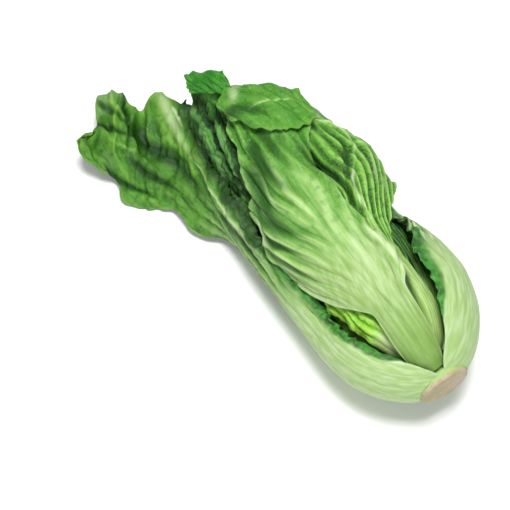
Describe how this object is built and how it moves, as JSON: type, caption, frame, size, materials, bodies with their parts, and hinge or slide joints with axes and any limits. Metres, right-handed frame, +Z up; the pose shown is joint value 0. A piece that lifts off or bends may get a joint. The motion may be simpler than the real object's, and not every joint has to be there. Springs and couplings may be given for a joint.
{
  "type": "head mustard",
  "caption": "Head of mustard greens as cut, lying on its side: thick clasping stalks round a cut stem, thinning into ribbed, ruffled leaves that wrap a folded heart.",
  "frame": {"origin": "middle of the footprint, on the surface that the head lies on", "axes": "+Y along the head from the cut stem to the leaf tips, +X to the right seen from above with the tips ahead, +Z up"},
  "size_m": [0.1942, 0.3658, 0.1179],
  "materials": {
    "cut_stem": "cut stem end, dried to tan, over pale green white flesh",
    "heart": "waxy yellow green leaf, matte",
    "outer_leaf": "waxy pale green stalk with ribs, going over to a mid green blade with dark frilled margins",
    "leaf": "waxy mid green blade with broad pale ribs and fine net veins",
    "dark_leaf": "dark green puckered blade, slightly glossy",
    "young_leaf": "waxy yellow green young leaf"
  },
  "bodies": {
    "root": {"stem": "cut_stem", "heart": "heart", "leaf_outer_right": "outer_leaf", "leaf_outer_left": "outer_leaf", "leaf_front": "leaf", "leaf_under": "leaf", "leaf_side_right": "leaf", "leaf_side_left": "dark_leaf", "leaf_inner_left": "young_leaf", "leaf_inner_right": "dark_leaf"}
  },
  "joints": []
}
